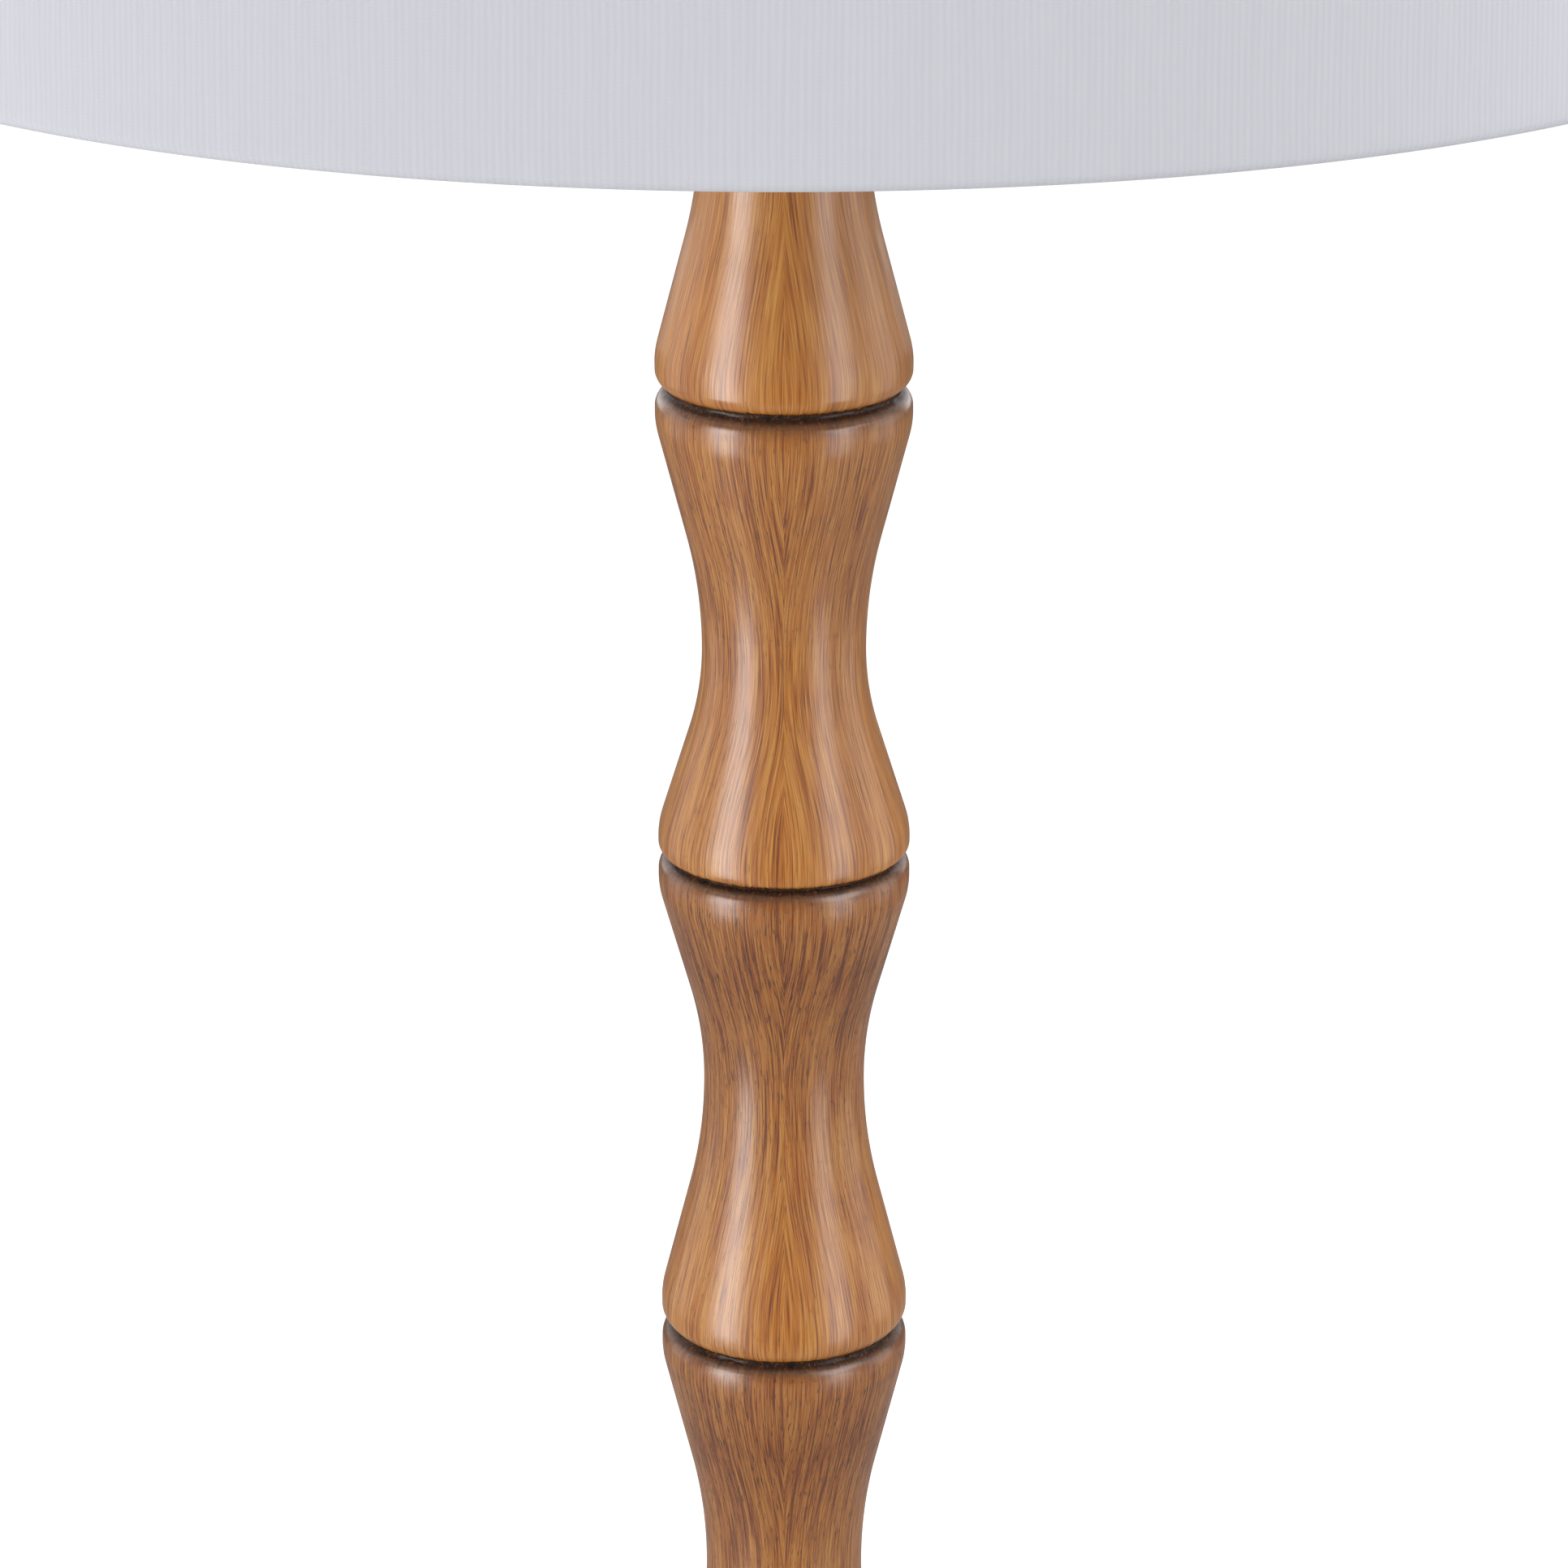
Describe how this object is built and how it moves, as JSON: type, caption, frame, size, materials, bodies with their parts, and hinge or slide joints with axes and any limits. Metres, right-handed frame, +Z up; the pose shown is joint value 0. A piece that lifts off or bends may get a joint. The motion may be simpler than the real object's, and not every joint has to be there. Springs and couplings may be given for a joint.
{
  "type": "tripod floor lamp",
  "caption": "Floor lamp with a turned cane-look column on splayed legs, a lampholder with turn switch, a harp and a hardback drum shade held by a finial.",
  "frame": {"origin": "on the floor, on the column's axis, which is the middle of the box around the lamp", "axes": "+Z up along the column; -Y is the front, where the single front leg and the switch knob point; +X is to the right seen from the front"},
  "size_m": [0.4571, 0.4572, 1.524],
  "materials": {
    "column_wood": "satin",
    "leg_wood": "satin",
    "hub_wood": "satin",
    "finial_wood": "satin",
    "pad_rubber": "matte",
    "bushing_plastic": "matte",
    "knob_plastic": "matte",
    "phenolic": "matte",
    "card": "matte",
    "steel": "zinc plated",
    "pipe_steel": "plain",
    "insert_brass": "plain",
    "brass": "antique satin",
    "harp_brass": "satin",
    "fitter_brass": "satin",
    "shell_aluminium": "plain",
    "black_glass": "gloss",
    "opal_glass": "opal",
    "shade_liner": "matte",
    "shade_cloth": "linen weave"
  },
  "bodies": {
    "lamp": {"leg_front": "leg_wood", "leg_right": "leg_wood", "leg_left": "leg_wood", "foot_pads": "pad_rubber", "foot_screws": "steel", "leg_studs": "steel", "leg_inserts": "insert_brass", "hub": "hub_wood", "hub_cap": "brass", "cable_bushing": "bushing_plastic", "base_washer": "steel", "base_nut": "steel", "column_lower": "column_wood", "column_middle": "column_wood", "column_upper": "column_wood", "pipe_lower": "pipe_steel", "pipe_middle": "pipe_steel", "pipe_upper": "pipe_steel", "pipe_couplings": "pipe_steel", "check_plate": "brass", "lock_nut": "brass", "harp_saddle": "brass", "socket_cap": "brass", "socket_shell": "brass", "shell_insulator": "card", "socket_body": "phenolic", "terminal_screws": "insert_brass", "screw_shell": "shell_aluminium", "centre_contact": "insert_brass", "bulb_base": "shell_aluminium", "bulb_insulator": "black_glass", "bulb_contact": "shell_aluminium", "bulb_glass": "opal_glass", "harp": "harp_brass", "harp_stud": "harp_brass", "finial_seat": "brass", "finial_knob": "finial_wood"},
    "shade": {"spider_fitter": "fitter_brass", "shade_ring": "fitter_brass", "shade_liner": "shade_liner", "shade_cloth": "shade_cloth"},
    "switch": {"switch_shaft": "insert_brass", "switch_knob": "knob_plastic"},
    "sleeve_right": {"harp_sleeve_right": "harp_brass"},
    "sleeve_left": {"harp_sleeve_left": "harp_brass"}
  },
  "joints": [
    {"name": "shade_turn", "type": "hinge", "parent": "lamp", "child": "shade", "pos_m": [0, 0, 1.4877], "axis": [0, 0, 1], "continuous": true},
    {"name": "switch_turn", "type": "hinge", "parent": "lamp", "child": "switch", "pos_m": [0, -0.02, 1.273], "axis": [0, -1, 0], "continuous": true},
    {"name": "sleeve_right_lift", "type": "slide", "parent": "lamp", "child": "sleeve_right", "axis": [0, 0, 1], "range_m": [0, 0.01]},
    {"name": "sleeve_left_lift", "type": "slide", "parent": "lamp", "child": "sleeve_left", "axis": [0, 0, 1], "range_m": [0, 0.01]}
  ]
}
